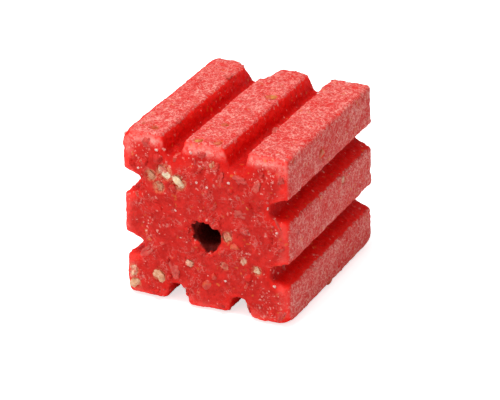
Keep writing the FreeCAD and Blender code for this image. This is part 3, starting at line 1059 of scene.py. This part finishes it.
def floor_material():
    """Plain pale matte floor, a little brighter to the camera than it is lit."""
    s = Shader("pale_floor")
    colour = s.mix(s.noise(60.0), (0.93, 0.93, 0.93), (0.95, 0.95, 0.95))
    seen = s.add("ShaderNodeLightPath").outputs["Is Camera Ray"]
    return s.finish(
        Base_Color=colour,
        Roughness=0.7,
        Specular_IOR_Level=0.1,
        Emission_Color=(1.0, 1.0, 1.0, 1.0),
        Emission_Strength=s.math("MULTIPLY", seen, FLOOR_GLOW),
    )


CRUMB_LOOKS = {                 # node: material's name, bloom
    "bore_mouth_crumbs": ("torn_crumb", 0.10),
    "dyed_meal_crumbs": ("meal_crumb", 0.06),
}
CEREAL_LOOKS = {                # node: material's name, light and dark colour, least film, grain, roughness
    "rolled_oat_flakes": ("oat_flake", (0.88, 0.74, 0.50), (0.70, 0.48, 0.28), 0.89, 0.50, 0.60),
    "wheat_chips": ("wheat_chip", (0.86, 0.62, 0.42), (0.66, 0.36, 0.18), 0.89, 0.40, 0.60),
    "yellow_maize_grits": ("yellow_maize", (0.78, 0.50, 0.08), (0.55, 0.30, 0.04), 0.78, 0.50, 0.45),
    "orange_maize_grits": ("orange_maize", (0.78, 0.24, 0.03), (0.52, 0.12, 0.02), 0.78, 0.50, 0.45),
    "wheat_bran_flakes": ("bran", (0.76, 0.38, 0.22), (0.48, 0.15, 0.07), 0.89, 0.20, 0.60),
    "oat_husk_slivers": ("husk", (0.50, 0.34, 0.13), (0.26, 0.15, 0.05), 0.82, 0.30, 0.60),
    "starch_prills": ("starch", (0.88, 0.42, 0.35), (0.78, 0.20, 0.16), 0.58, 0.30, 0.60),
}


def material_of(node):
    """The material for the new piece that stands for a CAD node other than the wax."""
    if node in CRUMB_LOOKS:
        return crumb_material(*CRUMB_LOOKS[node])
    if node in CEREAL_LOOKS:
        return cereal_material(*CEREAL_LOOKS[node])
    return sugar_material()


# ---------------------------------------------------------------- stage

# Lengths are in metres here, but for the lens and its sensor, which are in millimetres
CAMERA_AZIMUTH = math.radians(27.25)    # from the front, towards the right side
CAMERA_ELEVATION = math.radians(26.8)
CAMERA_DISTANCE = 0.4286
CAMERA_ROLL = math.radians(-1.37)
CAMERA_LENS = 190.9
SENSOR_WIDTH = 36.0
NEAREST_SEEN = 0.01
ROOM_LIGHT = 0.47               # how bright the white room is as a light
FLOOR_REACH = 1.5
FLOOR_GAP = 0.0001              # keeps the floor clear of the block's underside
LIGHTS = (                      # name, place, size, power
    ("top_soft", (-0.08, -0.12, 0.50), 0.22, 1.90),
    ("front_soft", (-0.22, -0.50, 0.20), 0.30, 0.70),
)
AIM_OFFSET = Vector((0.00033, -0.00080, -0.00182))     # from the block's centre


def add_camera(centre):
    level = math.cos(CAMERA_ELEVATION) * CAMERA_DISTANCE
    offset = Vector((
        math.sin(CAMERA_AZIMUTH) * level,
        -math.cos(CAMERA_AZIMUTH) * level,
        math.sin(CAMERA_ELEVATION) * CAMERA_DISTANCE,
    ))
    data = bpy.data.cameras.new("camera")
    data.lens = CAMERA_LENS
    data.sensor_width = SENSOR_WIDTH
    data.clip_start = NEAREST_SEEN
    camera = bpy.data.objects.new("camera", data)
    aim = centre + AIM_OFFSET - (centre + offset)
    turn = aim.to_track_quat("-Z", "Y").to_matrix() @ Matrix.Rotation(CAMERA_ROLL, 3, "Z")
    camera.matrix_world = Matrix.Translation(centre + offset) @ turn.to_4x4()
    bpy.context.scene.collection.objects.link(camera)
    bpy.context.scene.camera = camera


def add_light(name, place, target, size, power):
    """A soft square light at place, pointing at target."""
    data = bpy.data.lights.new(name, "AREA")
    data.size = size
    data.energy = power
    light = bpy.data.objects.new(name, data)
    light.location = place
    light.rotation_euler = (target - Vector(place)).to_track_quat("-Z", "Y").to_euler()
    bpy.context.scene.collection.objects.link(light)


def add_floor(height):
    mesh = bpy.data.meshes.new("floor")
    corners = [(x * FLOOR_REACH, y * FLOOR_REACH, height) for x, y in ((-1, -1), (1, -1), (1, 1), (-1, 1))]
    mesh.from_pydata(corners, [], [(0, 1, 2, 3)])
    floor = bpy.data.objects.new("floor", mesh)
    floor.data.materials.append(floor_material())
    bpy.context.scene.collection.objects.link(floor)


def add_world():
    """White to the camera, and a dimmer light all round."""
    world = bpy.data.worlds.new("white_room")
    world.use_nodes = True
    nodes, links = world.node_tree.nodes, world.node_tree.links
    seen = nodes.new("ShaderNodeLightPath").outputs["Is Camera Ray"]
    strength = nodes.new("ShaderNodeMapRange")
    strength.inputs["To Min"].default_value = ROOM_LIGHT
    strength.inputs["To Max"].default_value = 1.0
    links.new(seen, strength.inputs["Value"])
    links.new(strength.outputs["Result"], nodes["Background"].inputs["Strength"])
    nodes["Background"].inputs["Color"].default_value = (1.0, 1.0, 1.0, 1.0)
    bpy.context.scene.world = world
    bpy.context.scene.view_settings.view_transform = "Standard"


def build_object():
    rng = np.random.default_rng(SEED)
    field, smooth, rim = wax_field(rng)
    wax = build_wax(field, smooth, rim)
    wax.data.materials.append(wax_material())
    for node in CEREALS:
        piece = build_cereal(node, rng, field)
        piece.data.materials.append(material_of(node))


def build_stage():
    lowest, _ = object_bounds()
    centre = Vector(CENTRE / MM)
    add_floor(lowest[2] - FLOOR_GAP)
    for name, place, size, power in LIGHTS:
        add_light(name, place, centre, size, power)
    add_world()
    add_camera(centre)


build_object()
build_stage()
